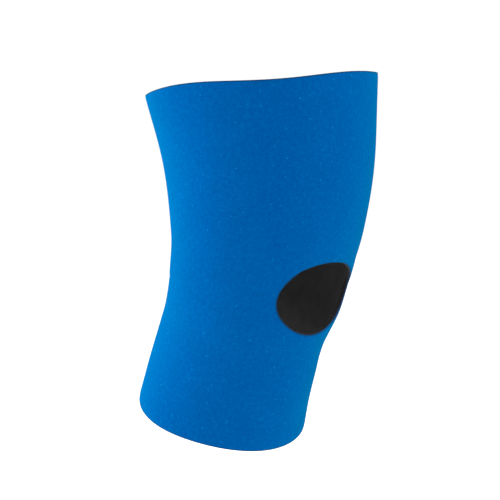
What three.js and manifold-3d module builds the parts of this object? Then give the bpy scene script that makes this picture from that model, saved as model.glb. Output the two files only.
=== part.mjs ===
// A knee sleeve in its worn form, slightly bent: a raw-cut tube of foam faced with knitted jersey, with an open
// hole in front. The front faces -Y, the wide end is up, and the origin lies on the tube's axis, level with the
// hole.
import * as THREE from "three";
import { mergeVertices } from "three/addons/utils/BufferGeometryUtils.js";
import Module from "manifold-3d";

const wasm = await Module();
wasm.setup();

// Driving dimensions, in millimetres and degrees. Lengths up and down run along the tube's axis.
const KNEE_RADIUS = 62.5; // mean radius over the outer face, at the hole
const THIGH_RADIUS = 79.8; // the same at the upper rim
const SHIN_RADIUS = 61.9; // the same at the lower rim
const THIGH_LENGTH = 136; // from the origin up to the upper rim
const SHIN_LENGTH = 110; // from the origin down to the lower rim
const FABRIC_THICKNESS = 0.6;
const FOAM_THICKNESS = 2.3;
const LAYER_GAP = 0.3; // between the fabric and the foam

// The bend of the axis: an arc between two straight lines.
const BEND = 20.4; // turn from the upper line to the lower one
const BEND_LENGTH = 60; // of the arc
const BEND_DROP = 15.1; // from the origin down to the middle of the arc
const THIGH_LEAN = -2.4; // tilt of the upper line, forward as it rises when positive

// The hole, which sits a little askew as worn.
const HOLE_WIDTH = 80.8; // measured round the outer face
const HOLE_HEIGHT = 39.7; // measured along the axis
const HOLE_SHIFT = { across: 1.7, along: -1.5 }; // of its middle from the origin
const HOLE_LEAN = 9.6; // sideways shift from its upper edge to its lower one, round the outer face
const HOLE_WAVES = { across: [0.963, 0.015, 0.038], along: [1, -0.058] }; // shares of its half

// How far the rims rise and fall: the heights of one, two, three and more waves round the tube, each with its
// crest at the front.
const RIM_WAVES = {
  upper: [7.9, -1.2, -0.3, 1, 0.2],
  lower: [5, 0.4, -0.9],
};

// One row for each section. `at` is the share of SHIN_LENGTH below the origin and of THIGH_LENGTH above it,
// `form` scales the plain taper from the hole to the rim, `depth` is front to back over side to side, and
// `forward` is the shift off the axis towards the front, as a share of KNEE_RADIUS.
const SECTIONS = [
  { at: -1.0, form: 1.0, depth: 1.04, forward: -0.096 },
  { at: -0.76, form: 0.965, depth: 1.05, forward: -0.104 },
  { at: -0.54, form: 0.947, depth: 1.04, forward: -0.09 },
  { at: -0.33, form: 0.937, depth: 1.02, forward: -0.072 },
  { at: -0.13, form: 0.982, depth: 1.0, forward: 0.015 },
  { at: 0.04, form: 1.008, depth: 1.0, forward: 0.082 },
  { at: 0.25, form: 1.0, depth: 1.01, forward: 0.196 },
  { at: 0.6, form: 0.99, depth: 1.03, forward: 0.253 },
  { at: 1.0, form: 1.0, depth: 1.04, forward: 0.151 },
];

// Facets
const SIDES = 48; // round the tube
const RINGS = 22; // steps from rim to rim
const HOLE_SIDES = 32;
const CUT_REACH = 12; // of the hole's cutter past the outer face, in and out

// Value of one column of SECTIONS at a share of the length, on a smooth curve through its rows.
function column(name, at) {
  const last = SECTIONS.length - 1;
  const slope = (i) => {
    const before = SECTIONS[Math.max(i - 1, 0)];
    const after = SECTIONS[Math.min(i + 1, last)];
    return (after[name] - before[name]) / (after.at - before.at);
  };
  if (at <= SECTIONS[0].at) return SECTIONS[0][name] + slope(0) * (at - SECTIONS[0].at);
  if (at >= SECTIONS[last].at) return SECTIONS[last][name] + slope(last) * (at - SECTIONS[last].at);
  const i = SECTIONS.findIndex((row) => row.at > at) - 1;
  const span = SECTIONS[i + 1].at - SECTIONS[i].at;
  const s = (at - SECTIONS[i].at) / span;
  const smooth = s * s * (3 - 2 * s);
  const bulge = s * (1 - s) * span * (slope(i) * (1 - s) - slope(i + 1) * s);
  return SECTIONS[i][name] * (1 - smooth) + SECTIONS[i + 1][name] * smooth + bulge;
}

// Place and tilt of the tube's axis at a length above the origin. The place is from the middle of the bend.
function axisFromBend(length) {
  const bend = THREE.MathUtils.degToRad(BEND);
  const middle = THREE.MathUtils.degToRad(THIGH_LEAN) + bend / 2;
  const along = length + BEND_DROP;
  const inArc = THREE.MathUtils.clamp(along, -BEND_LENGTH / 2, BEND_LENGTH / 2);
  const tilt = middle - (bend * inArc) / BEND_LENGTH;
  const radius = BEND_LENGTH / bend;
  return {
    y: radius * (Math.cos(middle) - Math.cos(tilt)) - (along - inArc) * Math.sin(tilt),
    z: radius * (Math.sin(middle) - Math.sin(tilt)) + (along - inArc) * Math.cos(tilt),
    tilt,
  };
}

// The same with the place from the origin.
function axis(length) {
  const origin = axisFromBend(0);
  const place = axisFromBend(length);
  return { y: place.y - origin.y, z: place.z - origin.z, tilt: place.tilt };
}

// Point at an angle from the front, a length along the axis and a depth inside the outer face.
function wallPoint(angle, length, inside) {
  const up = length > 0;
  const at = length / (up ? THIGH_LENGTH : SHIN_LENGTH);
  const rimRadius = up ? THIGH_RADIUS : SHIN_RADIUS;
  const mean = THREE.MathUtils.lerp(KNEE_RADIUS, rimRadius, Math.abs(at)) * column("form", at);
  const stretch = Math.sqrt(column("depth", at));
  const side = (mean / stretch - inside) * Math.sin(angle);
  const front = (mean * stretch - inside) * Math.cos(angle) + column("forward", at) * KNEE_RADIUS;
  const { y, z, tilt } = axis(length);
  return new THREE.Vector3(side, y - front * Math.cos(tilt), z - front * Math.sin(tilt));
}

// Length along the axis at which a rim lies, at an angle from the front.
function rimLength(waves, base, angle) {
  return waves.reduce((length, height, i) => length + height * Math.cos((i + 1) * angle), base);
}

// Triangles between two closed rows of points, which start at the indices given.
function band(index, first, second, count) {
  for (let i = 0; i < count; i += 1) {
    const next = (i + 1) % count;
    index.push(first + i, first + next, second + next, first + i, second + next, second + i);
  }
}

function geometryFrom(points, index) {
  const geometry = new THREE.BufferGeometry();
  geometry.setFromPoints(points);
  geometry.setIndex(index);
  return geometry;
}

// Closed tube between two depths inside the outer face.
function tube(outside, inside) {
  const points = [];
  const addRing = (share, depth) => {
    for (let i = 0; i < SIDES; i += 1) {
      const angle = (2 * Math.PI * i) / SIDES;
      const low = rimLength(RIM_WAVES.lower, -SHIN_LENGTH, angle);
      const high = rimLength(RIM_WAVES.upper, THIGH_LENGTH, angle);
      points.push(wallPoint(angle, THREE.MathUtils.lerp(low, high, share), depth));
    }
  };
  for (let ring = 0; ring <= RINGS; ring += 1) addRing(ring / RINGS, outside);
  for (let ring = RINGS; ring >= 0; ring -= 1) addRing(ring / RINGS, inside);
  const index = [];
  const rings = 2 * (RINGS + 1);
  for (let ring = 0; ring < rings; ring += 1) band(index, ring * SIDES, ((ring + 1) % rings) * SIDES, SIDES);
  return geometryFrom(points, index);
}

// Point on the hole's outline at a turn round it, at a depth inside the outer face.
function holePoint(turn, depth) {
  const sum = (waves, wave) => waves.reduce((total, share, i) => total + share * wave((i + 1) * turn), 0);
  const sideways = (HOLE_WIDTH / 2) * sum(HOLE_WAVES.across, Math.cos) - (HOLE_LEAN / 2) * Math.sin(turn);
  const length = HOLE_SHIFT.along + (HOLE_HEIGHT / 2) * sum(HOLE_WAVES.along, Math.sin);
  return wallPoint((HOLE_SHIFT.across + sideways) / KNEE_RADIUS, length, depth);
}

// Plug that cuts the hole, its sides square to the sheet.
function holeCutter() {
  const points = [];
  for (const depth of [-CUT_REACH, CUT_REACH]) {
    for (let i = 0; i < HOLE_SIDES; i += 1) points.push(holePoint((2 * Math.PI * i) / HOLE_SIDES, depth));
  }
  const outerMiddle = points.push(wallPoint(0, 0, -CUT_REACH)) - 1;
  const innerMiddle = points.push(wallPoint(0, 0, CUT_REACH)) - 1;
  const index = [];
  band(index, HOLE_SIDES, 0, HOLE_SIDES);
  for (let i = 0; i < HOLE_SIDES; i += 1) {
    const next = (i + 1) % HOLE_SIDES;
    index.push(outerMiddle, i, next, innerMiddle, HOLE_SIDES + next, HOLE_SIDES + i);
  }
  return geometryFrom(points, index);
}

function toSolid(geometry) {
  const merged = mergeVertices(geometry);
  return new wasm.Manifold(
    new wasm.Mesh({
      numProp: 3,
      vertProperties: new Float32Array(merged.attributes.position.array),
      triVerts: new Uint32Array(merged.index.array),
    }),
  );
}

function toGeometry(solid) {
  const mesh = solid.getMesh();
  const geometry = new THREE.BufferGeometry();
  geometry.setAttribute("position", new THREE.BufferAttribute(new Float32Array(mesh.vertProperties), 3));
  geometry.setIndex(new THREE.BufferAttribute(new Uint32Array(mesh.triVerts), 1));
  geometry.computeVertexNormals();
  return geometry;
}

// One layer of the sleeve, with the hole cut through it.
function layer(name, outside, thickness, material) {
  const wall = toSolid(tube(outside, outside + thickness)).subtract(toSolid(holeCutter()));
  const mesh = new THREE.Mesh(toGeometry(wall), new THREE.MeshStandardMaterial(material));
  mesh.name = name;
  return mesh;
}

const sleeve = new THREE.Group();
sleeve.add(layer("outer_fabric", 0, FABRIC_THICKNESS, { color: 0x0a72b4, roughness: 0.95, metalness: 0 }));
sleeve.add(
  layer("neoprene_core", FABRIC_THICKNESS + LAYER_GAP, FOAM_THICKNESS, {
    color: 0x141414,
    roughness: 0.9,
    metalness: 0,
  }),
);

export default sleeve;
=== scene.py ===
"""Knee sleeve in its worn form, slightly bent: blue jersey over black foam, raw cut.

The sleeve is made as the real one is: a flat sheet is punched with the hole in front, wrapped into a tube and
closed with a seam at the back. Lengths are metres. The front faces -Y and the wide end is up.
"""

import logging
import math
from collections.abc import Callable
from dataclasses import dataclass
from enum import Enum

import bmesh
import bpy
import numpy as np
from mathutils import Matrix, Vector


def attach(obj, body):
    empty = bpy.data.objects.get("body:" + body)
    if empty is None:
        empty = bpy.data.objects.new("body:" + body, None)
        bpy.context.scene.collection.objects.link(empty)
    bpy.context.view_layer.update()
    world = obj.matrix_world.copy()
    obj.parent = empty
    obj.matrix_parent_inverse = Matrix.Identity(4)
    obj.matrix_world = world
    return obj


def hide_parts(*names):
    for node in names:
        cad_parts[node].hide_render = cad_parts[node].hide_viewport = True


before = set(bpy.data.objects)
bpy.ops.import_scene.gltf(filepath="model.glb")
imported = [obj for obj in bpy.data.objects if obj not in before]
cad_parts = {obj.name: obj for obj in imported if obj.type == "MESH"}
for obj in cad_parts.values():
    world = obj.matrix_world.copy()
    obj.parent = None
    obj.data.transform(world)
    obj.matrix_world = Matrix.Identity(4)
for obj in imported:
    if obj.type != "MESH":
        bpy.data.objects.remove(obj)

Colour = tuple[float, float, float, float]
Socket = bpy.types.NodeSocket
Value = Socket | float | Colour
Span = tuple[Vector, Vector]

MM = 0.001
LOG = logging.getLogger("knee_sleeve")


class Part(Enum):
    """The frame's nodes that the visual pieces stand for."""

    FABRIC = "outer_fabric"
    FOAM = "neoprene_core"


class Slot(Enum):
    """The record's material slots."""

    KNIT = "knitted_face"
    FOAM = "foam"


class MeshData(Enum):
    """Names of the map and the attribute that the materials read."""

    CLOTH = "cloth"
    TO_CUT = "to_cut"


def eased(share: np.ndarray) -> np.ndarray:
    """Smooth rise from 0 to 1 over the shares from 0 to 1, level before and after."""
    held = np.clip(share, 0, 1)
    return held * held * (3 - 2 * held)


@dataclass(frozen=True)
class Section:
    """One row of the sleeve's form.

    Args:
        at: Share of the lower rim's distance below the origin, negative, or of the upper rim's above it.
        form: Factor on the plain taper from the hole to the rim.
        depth: Front to back over side to side.
        forward: Shift off the axis towards the front, as a share of the middle radius.
    """

    at: float
    form: float
    depth: float
    forward: float


@dataclass(frozen=True)
class Rim:
    """A raw-cut rim, as a curve of lengths along the tube's axis.

    Args:
        base: Mean length from the origin, negative below it.
        waves: Heights of one, two, three and more waves round the tube, each with its crest at the front.
    """

    base: float
    waves: tuple[float, ...]

    def length(self, angle: np.ndarray) -> np.ndarray:
        """Length along the axis at an angle from the front."""
        return self.base + sum(height * np.cos((i + 1) * angle) for i, height in enumerate(self.waves))


@dataclass(frozen=True)
class FrontHole:
    """The open hole in front, as a rounded outline on the wrapped sheet, a little askew as worn.

    Args:
        width: Its width round the outer face.
        height: Its height along the axis.
        shift_across: Shift of its middle from the front, round the outer face.
        shift_along: Shift of its middle from the origin, along the axis.
        lean: Sideways shift from its upper edge to its lower one, round the outer face.
        across: Shares of one, two and three waves in its half width.
        along: Shares of one and two waves in its half height.
    """

    width: float = 80.8 * MM
    height: float = 39.7 * MM
    shift_across: float = 1.7 * MM
    shift_along: float = -1.5 * MM
    lean: float = 9.6 * MM
    across: tuple[float, ...] = (0.963, 0.015, 0.038)
    along: tuple[float, ...] = (1.0, -0.058)

    def edge(self, turn: np.ndarray, radius: float) -> tuple[np.ndarray, np.ndarray]:
        """Angle and length of the outline's points.

        Args:
            turn: Position round the outline, from 0 at its end towards +X.
            radius: Mean radius of the outer face there.

        Returns:
            The angle from the front and the length along the axis.
        """
        across = sum(share * np.cos((i + 1) * turn) for i, share in enumerate(self.across))
        along = sum(share * np.sin((i + 1) * turn) for i, share in enumerate(self.along))
        sideways = self.shift_across + self.width / 2 * across - self.lean / 2 * np.sin(turn)
        return sideways / radius, self.shift_along + self.height / 2 * along


@dataclass(frozen=True)
class WornForm:
    """The sleeve's outer face, bent and tapered as worn.

    Args:
        middle_radius: Mean radius level with the hole.
        upper_radius: The same at the upper rim.
        lower_radius: The same at the lower rim.
        bend: Turn of the axis from its upper line to its lower one.
        bend_length: Length of the arc between the two lines.
        bend_drop: Length from the origin down to the arc's middle.
        upper_lean: Tilt of the upper line, forward as it rises when positive.
        upper: The upper rim.
        lower: The lower rim.
        hole: The hole in front.
        sections: The form's rows, from the lower rim to the upper one.
    """

    middle_radius: float = 62.5 * MM
    upper_radius: float = 79.8 * MM
    lower_radius: float = 61.9 * MM
    bend: float = math.radians(20.4)
    bend_length: float = 60 * MM
    bend_drop: float = 15.1 * MM
    upper_lean: float = math.radians(-2.4)
    upper: Rim = Rim(base=136 * MM, waves=(7.9 * MM, -1.2 * MM, -0.3 * MM, 1 * MM, 0.2 * MM))
    lower: Rim = Rim(base=-110 * MM, waves=(5 * MM, 0.4 * MM, -0.9 * MM))
    hole: FrontHole = FrontHole()
    sections: tuple[Section, ...] = (
        Section(at=-1.0, form=1.0, depth=1.04, forward=-0.096),
        Section(at=-0.76, form=0.965, depth=1.05, forward=-0.104),
        Section(at=-0.54, form=0.947, depth=1.04, forward=-0.09),
        Section(at=-0.33, form=0.937, depth=1.02, forward=-0.072),
        Section(at=-0.13, form=0.982, depth=1.0, forward=0.015),
        Section(at=0.04, form=1.008, depth=1.0, forward=0.082),
        Section(at=0.25, form=1.0, depth=1.01, forward=0.196),
        Section(at=0.6, form=0.99, depth=1.03, forward=0.253),
        Section(at=1.0, form=1.0, depth=1.04, forward=0.151),
    )

    def column(self, name: str, at: np.ndarray) -> np.ndarray:
        """Value of one column of the sections on a smooth curve through its rows.

        Args:
            name: The column's name.
            at: Shares of the length, as the rows hold them.

        Returns:
            The column's value at each share.
        """
        place = np.array([row.at for row in self.sections])
        value = np.array([getattr(row, name) for row in self.sections])
        rows = np.arange(len(place))
        before, after = np.maximum(rows - 1, 0), np.minimum(rows + 1, rows[-1])
        slope = (value[after] - value[before]) / (place[after] - place[before])
        i = np.clip(np.searchsorted(place, at, side="right") - 1, 0, rows[-1] - 1)
        span = place[i + 1] - place[i]
        s = np.clip((at - place[i]) / span, 0, 1)
        bulge = s * (1 - s) * span * (slope[i] * (1 - s) - slope[i + 1] * s)
        inside = value[i] * (1 - eased(s)) + value[i + 1] * eased(s) + bulge
        past = np.clip(at - place[-1], 0, None) * slope[-1] + np.clip(at - place[0], None, 0) * slope[0]
        return inside + past

    def axis_from_bend(self, along: np.ndarray) -> tuple[np.ndarray, np.ndarray, np.ndarray]:
        """Place and tilt of the tube's axis, with the place from the middle of the bend.

        Args:
            along: Length along the axis above the middle of the bend.

        Returns:
            y, z and the tilt.
        """
        middle = self.upper_lean + self.bend / 2
        radius = self.bend_length / self.bend
        in_arc = np.clip(along, -self.bend_length / 2, self.bend_length / 2)
        tilt = middle - self.bend * in_arc / self.bend_length
        y = radius * (np.cos(middle) - np.cos(tilt)) - (along - in_arc) * np.sin(tilt)
        z = radius * (np.sin(middle) - np.sin(tilt)) + (along - in_arc) * np.cos(tilt)
        return y, z, tilt

    def axis(self, length: np.ndarray) -> tuple[np.ndarray, np.ndarray, np.ndarray]:
        """Place and tilt of the tube's axis, with the place from the origin.

        Args:
            length: Length along the axis above the origin.

        Returns:
            y, z and the tilt.
        """
        y, z, tilt = self.axis_from_bend(length + self.bend_drop)
        y_origin, z_origin, _ = self.axis_from_bend(np.array(self.bend_drop))
        return y - y_origin, z - z_origin, tilt

    def share(self, length: np.ndarray) -> np.ndarray:
        """Length along the axis as a share of the mean length to the rim on that side."""
        return length / np.where(length > 0, self.upper.base, -self.lower.base)

    def mean_radius(self, length: np.ndarray) -> np.ndarray:
        """Mean radius of the outer face.

        Args:
            length: Length along the axis from the origin.

        Returns:
            The mean of front to back and side to side.
        """
        at = self.share(length)
        rim_radius = np.where(at > 0, self.upper_radius, self.lower_radius)
        taper = self.middle_radius + (rim_radius - self.middle_radius) * np.abs(at)
        return taper * self.column("form", at)

    def point(self, angle: np.ndarray, length: np.ndarray, inside: np.ndarray) -> np.ndarray:
        """Points of the wall.

        Args:
            angle: Angle round the tube from the front.
            length: Length along the axis from the origin.
            inside: Depth inside the outer face.

        Returns:
            One row of x, y and z for each point.
        """
        at = self.share(length)
        mean = self.mean_radius(length)
        stretch = np.sqrt(self.column("depth", at))
        forward = self.column("forward", at) * self.middle_radius
        side = (mean / stretch - inside) * np.sin(angle)
        front = (mean * stretch - inside) * np.cos(angle) + forward
        y, z, tilt = self.axis(length)
        return np.stack([side, y - front * np.cos(tilt), z - front * np.sin(tilt)], axis=-1)


@dataclass(frozen=True)
class Swell:
    """One slow wave over the sheet.

    Args:
        share: Its height as a share of the relief's swell.
        turns: Waves round the tube.
        twist: Turn of its phase over each swell length up the tube, in radians.
        start: Its phase at the front, level with the origin.
    """

    share: float
    turns: int
    twist: float
    start: float


@dataclass(frozen=True)
class Relief:
    """Soft unevenness of the worn sheet: slow swells, creases in the bend's hollow and the seam's valley.

    Args:
        swell: Height of the slow swells.
        swell_length: Length up the tube over which their twist is given.
        swells: The waves that make them.
        crease_depth: Depth of the creases.
        crease_pitch: Distance between them.
        crease_reach: How far up and down they go before they have mostly died out.
        crease_drop: Length from the origin down to the deepest ones.
        crease_bow: How much lower they lie at their ends than in the middle of the back.
        crease_from: Angle from the front at which they start.
        seam_depth: Depth of the closing seam's valley.
        seam_width: Half width of that valley.
    """

    swell: float = 0.22 * MM
    swell_length: float = 34 * MM
    swells: tuple[Swell, ...] = (
        Swell(share=1.0, turns=3, twist=1.1, start=0.7),
        Swell(share=0.7, turns=5, twist=-1.7, start=2.1),
        Swell(share=0.5, turns=2, twist=2.9, start=4.0),
    )
    crease_depth: float = 1.3 * MM
    crease_pitch: float = 12.5 * MM
    crease_reach: float = 26 * MM
    crease_drop: float = 12 * MM
    crease_bow: float = 9 * MM
    crease_from: float = math.radians(138)
    seam_depth: float = 0.5 * MM
    seam_width: float = 2.0 * MM

    def depth(self, angle: np.ndarray, length: np.ndarray, radius: np.ndarray) -> np.ndarray:
        """Depth of the surface under the plain form.

        Args:
            angle: Angle round the tube from the front.
            length: Length along the axis from the origin.
            radius: Mean radius there.

        Returns:
            Depths, positive inwards.
        """
        along = length / self.swell_length
        swells = sum(s.share * np.sin(s.turns * angle + s.twist * along + s.start) for s in self.swells)
        behind = eased((np.abs(angle) - self.crease_from) / (math.pi - self.crease_from))
        below = (length + self.crease_drop) / self.crease_reach
        bowed = length + self.crease_bow * (1 - behind)
        creases = behind * np.exp(-below * below) * (1 + np.cos(2 * math.pi * bowed / self.crease_pitch)) / 2
        off_seam = (math.pi - np.abs(angle)) * radius / self.seam_width
        valley = np.exp(-off_seam * off_seam)
        return self.swell * swells + self.crease_depth * creases + self.seam_depth * valley


def deselect_all() -> None:
    """Leaves object mode with nothing selected."""
    if bpy.context.object and bpy.context.object.mode != "OBJECT":
        bpy.ops.object.mode_set(mode="OBJECT")
    bpy.ops.object.select_all(action="DESELECT")


def make_active(piece: bpy.types.Object) -> None:
    """Selects one piece alone and makes it the active one.

    Args:
        piece: The piece.
    """
    deselect_all()
    piece.select_set(True)
    bpy.context.view_layer.objects.active = piece


def select_faces(piece: bpy.types.Object, wanted: Callable[[Vector], bool]) -> None:
    """Selects the faces that a rule picks by their place.

    Args:
        piece: The piece, which becomes the active one.
        wanted: Called with each face's middle.
    """
    make_active(piece)
    bpy.ops.object.mode_set(mode="EDIT")
    bpy.ops.mesh.select_mode(type="FACE")
    bpy.ops.mesh.select_all(action="DESELECT")
    mesh = bmesh.from_edit_mesh(piece.data)
    for face in mesh.faces:
        if wanted(face.calc_center_median()):
            face.select_set(True)
    bmesh.update_edit_mesh(piece.data)
    bpy.ops.object.mode_set(mode="OBJECT")


def apply_modifier(piece: bpy.types.Object, kind: str, **settings: object) -> None:
    """Adds a modifier with its settings and applies it.

    Args:
        piece: The piece, which becomes the active one.
        kind: The modifier's type.
        **settings: The modifier's properties.
    """
    make_active(piece)
    modifier = piece.modifiers.new(kind.lower(), kind)
    for name, value in settings.items():
        setattr(modifier, name, value)
    bpy.ops.object.modifier_apply(modifier=modifier.name)


def smooth(piece: bpy.types.Object, angle: float) -> None:
    """Shades a piece smooth except over edges sharper than an angle."""
    make_active(piece)
    bpy.ops.object.shade_smooth_by_angle(angle=angle)


@dataclass(frozen=True)
class CutSheet:
    """The flat sheet before it is wrapped, as a grid of cells with the hole's block punched out.

    Args:
        columns: Cells round the tube.
        rows_down: Cells from the hole's middle to the lower rim.
        rows_up: Cells from the hole's middle to the upper rim.
        cell: Size of a cell in the flat sheet.
        hole_across: Half width of the punched block, in cells.
        hole_up: Height of the block above the hole's middle, in cells.
        hole_down: The same below it.
        bend_reach: How far out, in sizes of the block, the grid bends round the hole.
    """

    columns: int = 264
    rows_down: int = 70
    rows_up: int = 86
    cell: float = 1.6 * MM
    hole_across: int = 24
    hole_up: int = 9
    hole_down: int = 13
    bend_reach: float = 2.6

    def punched(self, name: str) -> bpy.types.Object:
        """Adds the flat sheet and punches the hole's block out of it.

        Args:
            name: Name of the new piece.

        Returns:
            The flat sheet, its middle column on Y and its hole's middle row on X.
        """
        deselect_all()
        rows = self.rows_down + self.rows_up
        bpy.ops.mesh.primitive_grid_add(x_subdivisions=self.columns, y_subdivisions=rows, size=1)
        sheet = bpy.context.object
        sheet.name = name
        sheet.data.name = name
        lift = (self.rows_up - self.rows_down) / 2
        place = Matrix.Translation((0, lift * self.cell, 0))
        sheet.data.transform(place @ Matrix.Diagonal((self.columns * self.cell, rows * self.cell, 1, 1)))
        across, up, down = (cells * self.cell for cells in (self.hole_across, self.hole_up, self.hole_down))
        select_faces(sheet, lambda middle: abs(middle.x) < across and -down < middle.y < up)
        bpy.ops.object.mode_set(mode="EDIT")
        bpy.ops.mesh.delete(type="FACE")
        bpy.ops.object.mode_set(mode="OBJECT")
        return sheet

    def spread(self, flat: np.ndarray, form: WornForm) -> tuple[np.ndarray, np.ndarray, np.ndarray]:
        """Where the flat sheet's points lie on the tube, with the grid bent round the hole.

        Args:
            flat: One row of x, y and z for each point of the flat sheet.
            form: The worn form.

        Returns:
            The angle from the front, the length along the axis, and the distance from the hole in sizes of
            its block, which is 1 on its edge.
        """
        column, row = flat[:, 0] / self.cell, flat[:, 1] / self.cell
        angle = column * 2 * math.pi / self.columns
        rim = np.where(row > 0, form.upper.length(angle), -form.lower.length(angle))
        length = row / np.where(row > 0, self.rows_up, self.rows_down) * rim
        across = column / self.hole_across
        height = row / np.where(row > 0, self.hole_up, self.hole_down)
        ring = np.maximum(np.abs(across), np.abs(height))
        beside = np.abs(across) >= np.abs(height)
        # A side's middle and its corner lie an eighth of a turn apart, on the block as on the hole's outline.
        eighth = math.pi / 4
        turn = np.where(
            beside,
            np.where(across > 0, 0, math.pi) + eighth * height / np.where(beside, across, 1),
            np.copysign(2 * eighth, height) - eighth * across / np.where(beside, 1, height),
        )
        edge_angle, edge_length = form.hole.edge(turn, form.middle_radius)
        away = eased((ring - 1) / (self.bend_reach - 1))
        angle = edge_angle * ring * (1 - away) + angle * away
        length = edge_length * ring * (1 - away) + length * away
        return angle, length, ring


@dataclass(frozen=True)
class Fade:
    """How a pattern takes one colour towards another.

    Args:
        start: The pattern's value where it starts.
        full: The pattern's value where it is at its strongest.
        share: Share of the other colour there.
    """

    start: float
    full: float
    share: float = 1.0


@dataclass(frozen=True)
class Specks:
    """Scattered soft dots, some brighter and some fainter.

    Args:
        pitch: Mean distance between the places that may hold a dot.
        radius: A dot's radius.
        held: Share of the places that hold one.
        share: Share of their colour in the brightest ones.
        core: Share of the radius within which a dot is at its brightest.
    """

    pitch: float
    radius: float
    held: float
    share: float
    core: float = 0.3


class Graph:
    """A material's node tree, with short calls that add and join its nodes."""

    def __init__(self, name: str) -> None:
        """Starts an empty tree with its output.

        Args:
            name: Name of the new material.
        """
        self.material = bpy.data.materials.new(name)
        self.material.use_nodes = True
        self.tree = self.material.node_tree
        self.tree.nodes.clear()
        self.output = self.tree.nodes.new("ShaderNodeOutputMaterial")

    def node(self, kind: str, inputs: dict[str | int, Value], **settings: object) -> bpy.types.Node:
        """Adds a node.

        Args:
            kind: The node's type, without the word that all types start with.
            inputs: A value or another node's output socket for each input, by name or number.
            **settings: The node's properties.

        Returns:
            The new node.
        """
        node = self.tree.nodes.new(f"ShaderNode{kind}")
        for name, value in settings.items():
            setattr(node, name, value)
        for name, value in inputs.items():
            if isinstance(value, Socket):
                self.tree.links.new(value, node.inputs[name])
            else:
                node.inputs[name].default_value = value
        return node

    def cloth_map(self) -> Socket:
        """The piece's own map, in metres on the flat sheet."""
        return self.node("UVMap", {}, uv_map=MeshData.CLOTH.value).outputs["UV"]

    def place(self) -> Socket:
        """The place in the piece's own space, in metres."""
        return self.node("TexCoord", {}).outputs["Object"]

    def maths(self, operation: str, *values: Value) -> Socket:
        """Adds a Math node on up to three values and gives its output."""
        return self.node("Math", dict(enumerate(values)), operation=operation).outputs[0]

    def rise(self, value: Value, start: float, full: float, top: float = 1.0) -> Socket:
        """Smooth rise from 0 to a top while a value goes from its start to its full."""
        inputs = {"Value": value, "From Min": start, "From Max": full, "To Min": 0.0, "To Max": top}
        return self.node("MapRange", inputs, interpolation_type="SMOOTHSTEP").outputs["Result"]

    def mix(self, share: Value, first: Value, second: Value) -> Socket:
        """Mixes two colours. The node has them at its inputs 6 and 7, and the result at its output 2."""
        return self.node("Mix", {0: share, 6: first, 7: second}, data_type="RGBA").outputs[2]

    def fade(self, colour: Value, other: Value, pattern: Value, fade: Fade) -> Socket:
        """Takes a colour towards another one where a pattern says so."""
        return self.mix(self.rise(pattern, fade.start, fade.full, fade.share), colour, other)

    def noise(self, where: Value, size: float, detail: float = 2.0, flat: bool = False) -> Socket:
        """Noise whose lumps have a real size, as a value from 0 to 1."""
        inputs = {"Vector": where, "Scale": 1 / size, "Detail": detail}
        return self.node("TexNoise", inputs, noise_dimensions="2D" if flat else "3D").outputs[0]

    def specks(self, where: Value, specks: Specks) -> Socket:
        """Scatters dots on the flat sheet.

        Args:
            where: The map's socket.
            specks: How they lie.

        Returns:
            Up to 1 in a dot and 0 off it.
        """
        cells = self.node("TexVoronoi", {"Vector": where, "Scale": 1 / specks.pitch}, voronoi_dimensions="2D")
        reach = specks.radius / specks.pitch
        dot = self.rise(cells.outputs["Distance"], reach, specks.core * reach)
        chance = self.node("SeparateColor", {"Color": cells.outputs["Color"]}).outputs[0]
        return self.maths("MULTIPLY", dot, self.rise(chance, 1 - specks.held, 1.0))

    def bump(self, height: Value, strength: float, depth: float) -> Socket:
        """Turns a height from 0 to 1 into bumps of a real depth, for the shader's normal."""
        return self.node("Bump", {"Height": height, "Strength": strength, "Distance": depth}).outputs[0]

    def finish(self, **inputs: Value) -> bpy.types.Material:
        """Adds the surface shader and ends the tree.

        Args:
            **inputs: The shader's inputs, with an underscore for each space.

        Returns:
            The finished material.
        """
        named = {name.replace("_", " "): value for name, value in inputs.items()}
        shader = self.node("BsdfPrincipled", named)
        self.tree.links.new(shader.outputs[0], self.output.inputs["Surface"])
        return self.material


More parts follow.
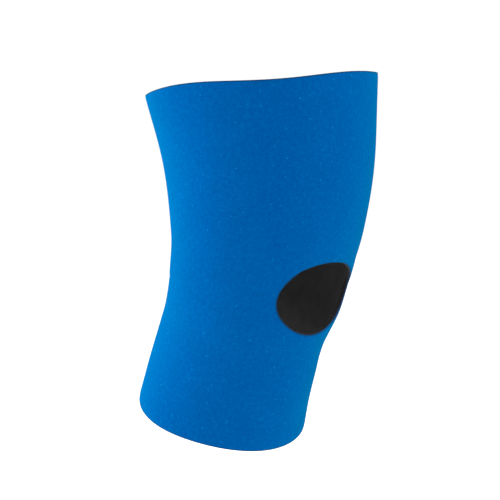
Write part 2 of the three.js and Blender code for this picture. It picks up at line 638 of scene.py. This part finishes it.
@dataclass(frozen=True)
class JerseyKnit:
    """Matte blue jersey: fine knitted columns, heathered grain and small pale lint.

    Args:
        colour: Its main colour.
        pale: Its paler yarn.
        dark_yarn_and_shade: Its darker yarn, also the painted shade in its furrows.
        lint_colour: The lint's colour.
        cut: Painted shade along the raw edges, the colour that the face takes there.
        sheen_tint: Colour of its fine hairs.
        sheen: How much they show.
        sheen_roughness: How widely they scatter.
        roughness: How dull it is.
        gloss: Its mirror-like share.
        column_pitch: Distance between the knit's columns.
        course_pitch: Distance between its courses.
        climb: How far a loop's sides climb from its middle to its edge, in courses.
        fullness: Power that rounds the loops, rounder when smaller.
        furrow: Power that narrows the furrows between the columns, narrower when larger.
        grain_size: Size of the grain's lumps.
        heather_size: Size of the heathering's lumps.
        heather_detail: How many finer layers of lumps it holds.
        cloud_size: Size of the faint clouds.
        cloud_detail: How many finer layers of lumps they hold.
        grain_pale: How the grain takes the main colour towards the paler yarn.
        grain_dark: How the grain takes it towards the darker yarn.
        heather_pale: How the heathering takes it towards the paler yarn.
        heather_dark: How the heathering takes it towards the darker yarn.
        cloud_dark: How the clouds take it towards the darker yarn.
        painted_furrow_shade: How the painted shade in the furrows takes it towards the darker yarn.
        painted_edge_shade: How the painted shade darkens the face towards the raw edges, by the distance to
            the cut.
        lint: The larger specks.
        fluff: The smaller specks.
        bump_strength: Strength of the bumps.
        bump_depth: Depth of the bumps.
        loop_height: Share of that depth that the loops add.
        grain_height: Share of it that the grain adds.
        lint_height: Share of it that the larger specks add.
    """

    colour: Colour = (0.0001, 0.0695, 0.275, 1)
    pale: Colour = (0.0002, 0.136, 0.388, 1)
    dark_yarn_and_shade: Colour = (0.0001, 0.040, 0.178, 1)
    lint_colour: Colour = (0.004, 0.180, 0.500, 1)
    # Painted shade along the raw edges, not the knit's own colour.
    cut: Colour = (0.004, 0.022, 0.060, 1)
    sheen_tint: Colour = (0.0, 1.0, 0.1, 1)
    sheen: float = 0.08
    sheen_roughness: float = 0.55
    roughness: float = 0.92
    gloss: float = 0.0
    column_pitch: float = 0.62 * MM
    course_pitch: float = 0.50 * MM
    climb: float = 0.5
    fullness: float = 0.5
    furrow: float = 4.0
    grain_size: float = 1.3 * MM
    heather_size: float = 3.0 * MM
    heather_detail: float = 1.5
    cloud_size: float = 22 * MM
    cloud_detail: float = 1.0
    grain_pale: Fade = Fade(start=0.42, full=0.72, share=0.14)
    grain_dark: Fade = Fade(start=0.54, full=0.25, share=0.17)
    heather_pale: Fade = Fade(start=0.50, full=0.74, share=0.13)
    heather_dark: Fade = Fade(start=0.50, full=0.26, share=0.16)
    cloud_dark: Fade = Fade(start=0.35, full=0.65, share=0.08)
    painted_furrow_shade: Fade = Fade(start=0.6, full=0.0, share=0.10)
    painted_edge_shade: Fade = Fade(start=1.3 * MM, full=0.0, share=0.85)
    lint: Specks = Specks(pitch=8.0 * MM, radius=0.75 * MM, held=0.45, share=0.6)
    fluff: Specks = Specks(pitch=3.4 * MM, radius=0.62 * MM, held=0.5, share=0.22)
    bump_strength: float = 0.25
    bump_depth: float = 0.12 * MM
    loop_height: float = 0.5
    grain_height: float = 0.9
    lint_height: float = 0.6

    def loops(self, graph: Graph, where: Socket) -> Socket:
        """Adds the knitted loops, as columns of small arrows.

        Args:
            graph: The material's tree.
            where: The map's socket.

        Returns:
            Their height, from 0 to 1.
        """
        place = graph.node("SeparateXYZ", {"Vector": where})
        column = graph.maths("FRACT", graph.maths("DIVIDE", place.outputs["X"], self.column_pitch))
        side = graph.maths("ABSOLUTE", graph.maths("MULTIPLY_ADD", column, 2.0, -1.0))
        course = graph.maths("DIVIDE", place.outputs["Y"], self.course_pitch)
        phase = graph.maths("MULTIPLY_ADD", side, self.climb, course)
        arch = graph.maths("ABSOLUTE", graph.maths("SINE", graph.maths("MULTIPLY", phase, math.pi)))
        ridge = graph.maths("SUBTRACT", 1.0, graph.maths("POWER", side, self.furrow))
        return graph.maths("MULTIPLY", graph.maths("POWER", arch, self.fullness), ridge)

    def make(self) -> bpy.types.Material:
        """Builds the material.

        Returns:
            The finished material.
        """
        graph = Graph("jersey_knit")
        where = graph.cloth_map()
        grain = graph.noise(where, self.grain_size, flat=True)
        heather = graph.noise(where, self.heather_size, self.heather_detail, flat=True)
        clouds = graph.noise(where, self.cloud_size, self.cloud_detail, flat=True)
        loops = self.loops(graph, where)
        lint = graph.specks(where, self.lint)
        fluff = graph.specks(where, self.fluff)
        to_cut = graph.node("Attribute", {}, attribute_name=MeshData.TO_CUT.value).outputs["Fac"]
        colour = self.colour
        for pattern, other, fade in (
            (grain, self.pale, self.grain_pale),
            (grain, self.dark_yarn_and_shade, self.grain_dark),
            (heather, self.pale, self.heather_pale),
            (heather, self.dark_yarn_and_shade, self.heather_dark),
            (clouds, self.dark_yarn_and_shade, self.cloud_dark),
            # Painted shade in the furrows between the knit's columns.
            (loops, self.dark_yarn_and_shade, self.painted_furrow_shade),
        ):
            colour = graph.fade(colour, other, pattern, fade)
        colour = graph.mix(graph.maths("MULTIPLY", lint, self.lint.share), colour, self.lint_colour)
        colour = graph.mix(graph.maths("MULTIPLY", fluff, self.fluff.share), colour, self.pale)
        # Painted shade: the face darkens towards its raw edges, by the distance to the cut.
        colour = graph.fade(colour, self.cut, to_cut, self.painted_edge_shade)
        height = graph.maths("MULTIPLY", grain, self.grain_height)
        height = graph.maths("MULTIPLY_ADD", loops, self.loop_height, height)
        height = graph.maths("MULTIPLY_ADD", lint, self.lint_height, height)
        return graph.finish(
            Base_Color=colour,
            Roughness=self.roughness,
            Specular_IOR_Level=self.gloss,
            Sheen_Weight=self.sheen,
            Sheen_Roughness=self.sheen_roughness,
            Sheen_Tint=self.sheen_tint,
            Normal=graph.bump(height, self.bump_strength, self.bump_depth),
        )


@dataclass(frozen=True)
class Yarn:
    """Matte yarn or thread in two shades.

    Args:
        name: The material's name.
        colour: Its darker shade.
        pale: Its paler shade.
        size: Size of its ends or twists.
        shades: How they take the darker shade to the paler one.
        roughness: How dull it is.
        gloss: Its mirror-like share.
        bump_strength: Strength of its bumps.
        bump_depth: Depth of its bumps.
    """

    name: str
    colour: Colour
    pale: Colour
    size: float
    shades: Fade
    roughness: float
    gloss: float
    bump_strength: float
    bump_depth: float

    def make(self) -> bpy.types.Material:
        """Builds the material.

        Returns:
            The finished material.
        """
        graph = Graph(self.name)
        fibres = graph.noise(graph.place(), self.size)
        return graph.finish(
            Base_Color=graph.fade(self.colour, self.pale, fibres, self.shades),
            Roughness=self.roughness,
            Specular_IOR_Level=self.gloss,
            Normal=graph.bump(fibres, self.bump_strength, self.bump_depth),
        )


@dataclass(frozen=True)
class BlackFoam:
    """Black closed-cell foam.

    Args:
        name: The material's name.
        colour: Its colour.
        cell: Size of its cells.
        depth: Depth of the opened cells.
        roughness: How dull it is.
        worn: Its colour where it is worn.
        pit_shade_colour: Colour of the painted shade in the cells' pits.
        wear_size: Size of the worn places.
        wear: How they show.
        painted_pit_shade: How the painted shade in the pits shows, by the distance from a cell's middle.
        gloss: Its mirror-like share.
        bump_strength: Strength of its bumps.
    """

    name: str
    colour: Colour
    cell: float
    depth: float
    roughness: float
    worn: Colour = (0.022, 0.021, 0.020, 1)
    # Painted shade in the cells' pits.
    pit_shade_colour: Colour = (0.003, 0.003, 0.003, 1)
    wear_size: float = 9 * MM
    wear: Fade = Fade(start=0.35, full=0.7, share=0.30)
    painted_pit_shade: Fade = Fade(start=0.6, full=0.1, share=0.55)
    gloss: float = 0.2
    bump_strength: float = 0.6

    def make(self) -> bpy.types.Material:
        """Builds the material.

        Returns:
            The finished material.
        """
        graph = Graph(self.name)
        where = graph.place()
        cells = graph.node("TexVoronoi", {"Vector": where, "Scale": 1 / self.cell}).outputs["Distance"]
        colour = graph.fade(self.colour, self.worn, graph.noise(where, self.wear_size), self.wear)
        return graph.finish(
            # Painted shade: the cells' pits take a near-black colour.
            Base_Color=graph.fade(colour, self.pit_shade_colour, cells, self.painted_pit_shade),
            Roughness=self.roughness,
            Specular_IOR_Level=self.gloss,
            Normal=graph.bump(cells, self.bump_strength, self.depth),
        )


@dataclass(frozen=True)
class PaleFloor:
    """Matte white floor.

    Args:
        colour: Its main colour.
        grey: Its faint clouds' colour.
        cloud_size: Size of the clouds.
        clouds: How they show.
        roughness: How dull it is.
        gloss: Its mirror-like share.
    """

    colour: Colour = (0.96, 0.96, 0.96, 1)
    grey: Colour = (0.94, 0.94, 0.94, 1)
    cloud_size: float = 0.2
    clouds: Fade = Fade(start=0.3, full=0.7, share=0.05)
    roughness: float = 0.9
    gloss: float = 0.1

    def make(self) -> bpy.types.Material:
        """Builds the material.

        Returns:
            The finished material.
        """
        graph = Graph("pale_floor")
        colour = graph.fade(self.colour, self.grey, graph.noise(graph.place(), self.cloud_size), self.clouds)
        return graph.finish(Base_Color=colour, Roughness=self.roughness, Specular_IOR_Level=self.gloss)


@dataclass
class WallLayer:
    """One layer of the sleeve's wall.

    Args:
        name: Name of the new piece.
        outside: Depth of the layer's outer face inside the sleeve's.
        thickness: Thickness of the layer.
        face: Material of its two faces.
        cut: Material of its cut edges.
        rounding: Radius of its cut edges' corners.
        form: The form that it takes.
        relief: The unevenness on that form.
        sheet: The flat sheet that it is made from.
        roll_in: How far its cut edges roll in.
        roll_reach: Distance from the edge over which most of the roll dies out.
        corner: Angle above which an edge is a corner and is rounded.
        facets: Steps across a rounded corner.
        crisp: Angle above which an edge is shaded sharp.
        weld: Distance within which the two side edges join.
    """

    name: str
    outside: float
    thickness: float
    face: bpy.types.Material
    cut: bpy.types.Material
    rounding: float
    form: WornForm = WornForm()
    relief: Relief = Relief()
    sheet: CutSheet = CutSheet()
    roll_in: float = 0.35 * MM
    roll_reach: float = 2.2 * MM
    corner: float = math.radians(60)
    facets: int = 2
    crisp: float = math.radians(40)
    weld: float = 0.01 * MM

    def build(self) -> bpy.types.Object:
        """Punches, wraps and closes the sheet and gives it its thickness.

        Returns:
            The finished layer.
        """
        piece = self.sheet.punched(self.name)
        self.wrap(piece)
        self.close(piece)
        piece.data.materials.append(self.face)
        piece.data.materials.append(self.cut)
        apply_modifier(
            piece,
            "SOLIDIFY",
            thickness=self.thickness,
            offset=-1,
            use_even_offset=True,
            use_quality_normals=True,
            material_offset_rim=1,
        )
        apply_modifier(
            piece,
            "BEVEL",
            width=self.rounding,
            segments=self.facets,
            limit_method="ANGLE",
            angle_limit=self.corner,
            loop_slide=False,
        )
        smooth(piece, self.crisp)
        return piece

    def wrap(self, piece: bpy.types.Object) -> None:
        """Lays the flat sheet's points on the form and writes the map and the distance to the cut.

        Args:
            piece: The flat sheet.
        """
        mesh = piece.data
        flat = np.empty(len(mesh.vertices) * 3)
        mesh.vertices.foreach_get("co", flat)
        angle, length, ring = self.sheet.spread(flat.reshape(-1, 3), self.form)
        radius = self.form.mean_radius(length)
        above = self.form.upper.length(angle) - length
        below = length - self.form.lower.length(angle)
        from_hole = np.clip(ring - 1, 0, None) * self.form.hole.height / 2 * self.front_stretch()
        to_cut = np.minimum(np.minimum(above, below), from_hole)
        depth = self.outside + self.relief.depth(angle, length, radius)
        depth = depth + self.roll_in * np.exp(-to_cut / self.roll_reach)
        self.write_map(mesh, np.stack([angle * radius, length], axis=-1))
        attribute = mesh.attributes.new(MeshData.TO_CUT.value, "FLOAT", "POINT")
        attribute.data.foreach_set("value", to_cut.astype(np.float32))
        mesh.vertices.foreach_set("co", self.form.point(angle, length, depth).ravel())
        mesh.update()

    def front_stretch(self) -> float:
        """How much longer the front is than the tube's axis, over the hole's height.

        Returns:
            The front's length over the axis's.
        """
        height = self.form.hole.height
        ends = self.form.point(np.zeros(2), np.array([height / 2, -height / 2]), np.zeros(2))
        return float(np.linalg.norm(ends[0] - ends[1])) / height

    @staticmethod
    def write_map(mesh: bpy.types.Mesh, places: np.ndarray) -> None:
        """Writes each corner's place on the flat cloth, in metres.

        Args:
            mesh: The sheet, whose two side edges aren't joined yet.
            places: One row for each vertex.
        """
        for layer in list(mesh.uv_layers):
            mesh.uv_layers.remove(layer)
        corners = np.empty(len(mesh.loops), dtype=np.int64)
        mesh.loops.foreach_get("vertex_index", corners)
        layer = mesh.uv_layers.new(name=MeshData.CLOTH.value)
        layer.data.foreach_set("uv", places[corners].ravel())

    def close(self, piece: bpy.types.Object) -> None:
        """Joins the wrapped sheet's two side edges at the back.

        Args:
            piece: The wrapped sheet.
        """
        make_active(piece)
        bpy.ops.object.mode_set(mode="EDIT")
        bpy.ops.mesh.select_all(action="SELECT")
        bpy.ops.mesh.remove_doubles(threshold=self.weld)
        bpy.ops.object.mode_set(mode="OBJECT")


@dataclass
class ClosingSeam:
    """Zigzag stitches over the butted edges at the back.

    Args:
        thread: The stitches' material.
        form: The form that they lie on.
        relief: The unevenness on that form.
        name: Name of the new piece.
        half_width: Half of the zigzag's width.
        pitch: Distance between two ends on the way up.
        thread_radius: Radius of the thread.
        thread_sides: Faces round the thread.
        thread_rings: Faces along a stitch.
        fullness: Power that keeps a stitch thick towards its ends, thicker when smaller.
        sunk: How deep the stitches' ends lie in the cloth.
        margin: Distance from the first and last end to the rims.
        crisp: Angle above which an edge is shaded sharp.
    """

    thread: bpy.types.Material
    form: WornForm = WornForm()
    relief: Relief = Relief()
    name: str = "closing_seam"
    half_width: float = 2.4 * MM
    pitch: float = 1.7 * MM
    thread_radius: float = 0.26 * MM
    thread_sides: int = 10
    thread_rings: int = 8
    fullness: float = 0.8
    sunk: float = 0.05 * MM
    margin: float = 2.0 * MM
    crisp: float = math.radians(80)

    def build(self) -> bpy.types.Object:
        """Models one stitch, copies it up the seam and joins the copies.

        Returns:
            The finished row of stitches.
        """
        back = np.array(math.pi)
        low = float(self.form.lower.length(back)) + self.margin
        high = float(self.form.upper.length(back)) - self.margin
        steps = int((high - low) / self.pitch)
        ends = [self.stitch_end(low + (high - low) * i / steps, (-1) ** i) for i in range(steps + 1)]
        spans = list(zip(ends, ends[1:]))
        first = self.stitch(*spans[0])
        copies = [self.copy_of(first, spans[0], span) for span in spans[1:]]
        make_active(first)
        for copy in copies:
            copy.select_set(True)
        bpy.ops.object.join()
        first.name = self.name
        first.data.name = self.name
        first.data.materials.append(self.thread)
        smooth(first, self.crisp)
        return first

    def stitch_end(self, length: float, side: int) -> Vector:
        """Where the thread dips into the cloth at one side of the seam.

        Args:
            length: Length along the axis from the origin.
            side: 1 for the side towards +X and -1 for the other.

        Returns:
            The end's place.
        """
        at = np.array(length)
        radius = self.form.mean_radius(at)
        angle = side * (math.pi - self.half_width / radius)
        depth = self.relief.depth(angle, at, radius) + self.sunk
        return Vector(self.form.point(angle, at, depth))

    def stitch(self, start: Vector, end: Vector) -> bpy.types.Object:
        """Models one stitch from a ball drawn out along its thread.

        Args:
            start: Its first end.
            end: Its other end.

        Returns:
            The stitch, in place.
        """
        deselect_all()
        bpy.ops.mesh.primitive_uv_sphere_add(
            segments=self.thread_sides, ring_count=self.thread_rings, radius=self.thread_radius
        )
        piece = bpy.context.object
        reach = (end - start).length / 2 + self.thread_radius
        for vertex in piece.data.vertices:
            share = vertex.co.z / self.thread_radius
            along = math.copysign(abs(share) ** self.fullness, share) * reach
            vertex.co = Vector((along, vertex.co.y, -vertex.co.x))
        piece.data.transform(self.between(start, end))
        return piece

    def copy_of(self, stitch: bpy.types.Object, old: Span, new: Span) -> bpy.types.Object:
        """Copies a stitch, with its own mesh, to another place.

        Args:
            stitch: The stitch that is copied.
            old: Its two ends.
            new: The copy's two ends.

        Returns:
            The copy.
        """
        piece = stitch.copy()
        piece.data = stitch.data.copy()
        bpy.context.collection.objects.link(piece)
        longer = (new[1] - new[0]).length / (old[1] - old[0]).length
        back = self.between(*old).inverted()
        piece.data.transform(self.between(*new) @ Matrix.Diagonal((longer, 1, 1, 1)) @ back)
        return piece

    @staticmethod
    def between(start: Vector, end: Vector) -> Matrix:
        """Turns and places a stitch that was modelled along X, from one end to the other."""
        along = (end - start).normalized()
        return Matrix.Translation((start + end) / 2) @ along.to_track_quat("X", "Z").to_matrix().to_4x4()


@dataclass(frozen=True)
class FlatCut:
    """The knitted face's flat cut, before it is sewn and stretched into its worn form.

    Args:
        width: Its girth at the wide end.
        length: Its length from rim to rim.
        area: Its area, without the hole.
    """

    width: float = 0.45
    length: float = 0.255
    area: float = 0.093


@dataclass
class Sleeve:
    """The whole sleeve: the knitted face, the foam under it and the seam that closes them.

    Args:
        fabric_thickness: Thickness of the knitted face.
        foam_outside: Depth of the foam's outer face inside the sleeve's.
        foam_thickness: Thickness of the foam.
        fabric_rounding: Radius of the knitted face's cut corners.
        foam_rounding: Radius of the foam's cut corners.
        flat: The knitted face's flat cut. Not used.
        knit: Finish of the knitted face.
        knit_cut: Finish of its cut edges.
        foam_skin: Finish of the foam's faces.
        foam_cut: Finish of its cut edges.
        thread: Finish of the stitches.
    """

    fabric_thickness: float = 0.84 * MM
    foam_outside: float = 0.9 * MM
    foam_thickness: float = 2.3 * MM
    fabric_rounding: float = 0.22 * MM
    foam_rounding: float = 0.18 * MM
    flat: FlatCut = FlatCut()
    knit: JerseyKnit = JerseyKnit()
    knit_cut: Yarn = Yarn(
        name="cut_yarn",
        colour=(0.003, 0.030, 0.105, 1),
        pale=(0.010, 0.120, 0.360, 1),
        size=0.5 * MM,
        shades=Fade(start=0.45, full=0.7),
        roughness=0.95,
        gloss=0.1,
        bump_strength=0.6,
        bump_depth=0.15 * MM,
    )
    foam_skin: BlackFoam = BlackFoam(
        name="foam_skin", colour=(0.046, 0.045, 0.046, 1), cell=0.55 * MM, depth=0.05 * MM, roughness=0.75
    )
    foam_cut: BlackFoam = BlackFoam(
        name="foam_cut", colour=(0.009, 0.008, 0.008, 1), cell=0.30 * MM, depth=0.12 * MM, roughness=0.95
    )
    thread: Yarn = Yarn(
        name="sewing_thread",
        colour=(0.001, 0.036, 0.150, 1),
        pale=(0.002, 0.085, 0.300, 1),
        size=0.35 * MM,
        shades=Fade(start=0.4, full=0.65),
        roughness=0.8,
        gloss=0.08,
        bump_strength=0.5,
        bump_depth=0.08 * MM,
    )

    def build(self) -> list[bpy.types.Object]:
        """Builds the three pieces and ties them to the frame.

        Returns:
            The finished pieces.
        """
        fabric = WallLayer(
            name="jersey_face",
            outside=0.0,
            thickness=self.fabric_thickness,
            face=self.knit.make(),
            cut=self.knit_cut.make(),
            rounding=self.fabric_rounding,
        ).build()
        foam = WallLayer(
            name="foam_sheet",
            outside=self.foam_outside,
            thickness=self.foam_thickness,
            face=self.foam_skin.make(),
            cut=self.foam_cut.make(),
            rounding=self.foam_rounding,
        ).build()
        seam = ClosingSeam(thread=self.thread.make()).build()
        self.tie(fabric, foam, seam)
        return [fabric, foam, seam]

    def tie(self, fabric: bpy.types.Object, foam: bpy.types.Object, seam: bpy.types.Object) -> None:
        """Ties the pieces to the frame's body and hides the frame's own pieces for the face and the foam.

        Args:
            fabric: The knitted face.
            foam: The foam under it.
            seam: The stitches.
        """
        for piece, slot in ((fabric, Slot.KNIT), (foam, Slot.FOAM), (seam, Slot.KNIT)):
            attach(piece, "root")
        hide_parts(Part.FABRIC.value)
        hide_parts(Part.FOAM.value)


def direction(azimuth: float, elevation: float) -> Vector:
    """Direction from the sleeve to a camera or light at these angles, in degrees."""
    a, e = math.radians(azimuth), math.radians(elevation)
    return Vector((math.sin(a) * math.cos(e), -math.cos(a) * math.cos(e), math.sin(e)))


def add_facing(data: bpy.types.Light | bpy.types.Camera, aim: Vector, back: Vector) -> bpy.types.Object:
    """Adds a light or camera that faces a point.

    Args:
        data: The light or camera, which gives the object its name.
        aim: The point that it faces.
        back: Vector from that point to its place.

    Returns:
        The new object.
    """
    facing = bpy.data.objects.new(data.name, data)
    facing.location = aim + back
    facing.rotation_euler = back.to_track_quat("Z", "Y").to_euler()
    bpy.context.collection.objects.link(facing)
    return facing


@dataclass(frozen=True)
class SoftLight:
    """A large square light that faces the sleeve.

    Args:
        name: Its name.
        azimuth: Its place round the sleeve, in degrees, as a camera's is.
        elevation: Its height above the horizon, in degrees.
        power: Its power in watts.
        size: Length of its sides.
        distance: Its distance from the origin.
    """

    name: str
    azimuth: float
    elevation: float
    power: float
    size: float = 1.1
    distance: float = 1.6

    def build(self) -> None:
        """Adds the light."""
        data = bpy.data.lights.new(self.name, "AREA")
        data.shape = "SQUARE"
        data.size = self.size
        data.energy = self.power
        add_facing(data, Vector((0, 0, 0)), direction(self.azimuth, self.elevation) * self.distance)


@dataclass(frozen=True)
class Studio:
    """The pale floor, the soft lights and the white surround.

    Args:
        floor: The floor's finish.
        floor_drop: From the origin down to the floor.
        floor_radius: Radius of the floor.
        floor_sides: Sides of the floor's outline.
        surround: Strength of the surround's light.
        surround_colour: Its colour.
        lights: The soft lights.
    """

    floor: PaleFloor = PaleFloor()
    floor_drop: float = 0.45
    floor_radius: float = 15.0
    floor_sides: int = 96
    surround: float = 1.06
    surround_colour: Colour = (1, 1, 1, 1)
    lights: tuple[SoftLight, ...] = (
        SoftLight("back_left", azimuth=-170, elevation=10, power=19.0),
        SoftLight("left", azimuth=-134, elevation=10, power=16.0),
        SoftLight("left_above", azimuth=-138, elevation=45, power=6.5),
        SoftLight("right_above", azimuth=34, elevation=30, power=14.5),
    )

    def build(self) -> None:
        """Adds the floor, the lights and the surround."""
        deselect_all()
        place = (0, 0, -self.floor_drop)
        bpy.ops.mesh.primitive_circle_add(
            vertices=self.floor_sides, radius=self.floor_radius, fill_type="TRIFAN", location=place
        )
        floor = bpy.context.object
        floor.name = "floor"
        floor.data.materials.append(self.floor.make())
        for light in self.lights:
            light.build()
        world = bpy.data.worlds.new("white_surround")
        world.use_nodes = True
        background = world.node_tree.nodes["Background"]
        background.inputs["Color"].default_value = self.surround_colour
        background.inputs["Strength"].default_value = self.surround
        bpy.context.scene.world = world
        bpy.context.scene.view_settings.view_transform = "Standard"


@dataclass(frozen=True)
class PhotoCamera:
    """The camera, at the photograph's angle and distance.

    Args:
        azimuth: Its place round the sleeve, in degrees.
        elevation: Its height above the horizon, in degrees.
        distance: Its distance from the point that it looks at.
        aim_right: Shift of that point from the origin, to the picture's right.
        aim_height: Height of that point above the origin.
        lens: Its focal length, in millimetres.
        sensor: Width of its sensor, in millimetres.
    """

    azimuth: float = -45.6
    elevation: float = 11.1
    distance: float = 878 * MM
    aim_right: float = -3.5 * MM
    aim_height: float = 19.6 * MM
    lens: float = 90.0
    sensor: float = 36.0

    def build(self) -> None:
        """Adds the camera and makes it the scene's."""
        data = bpy.data.cameras.new("camera")
        data.lens = self.lens
        data.sensor_width = self.sensor
        aim = direction(self.azimuth + 90, 0) * self.aim_right + Vector((0, 0, self.aim_height))
        back = direction(self.azimuth, self.elevation) * self.distance
        bpy.context.scene.camera = add_facing(data, aim, back)


def main() -> None:
    """Builds the camera, the sleeve and its studio in order."""
    logging.basicConfig(level=logging.INFO, format="%(name)s: %(message)s")
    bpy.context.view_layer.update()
    PhotoCamera().build()
    for piece in Sleeve().build():
        LOG.info("%s: %d faces", piece.name, len(piece.data.polygons))
    Studio().build()


if __name__ == "__main__":
    main()
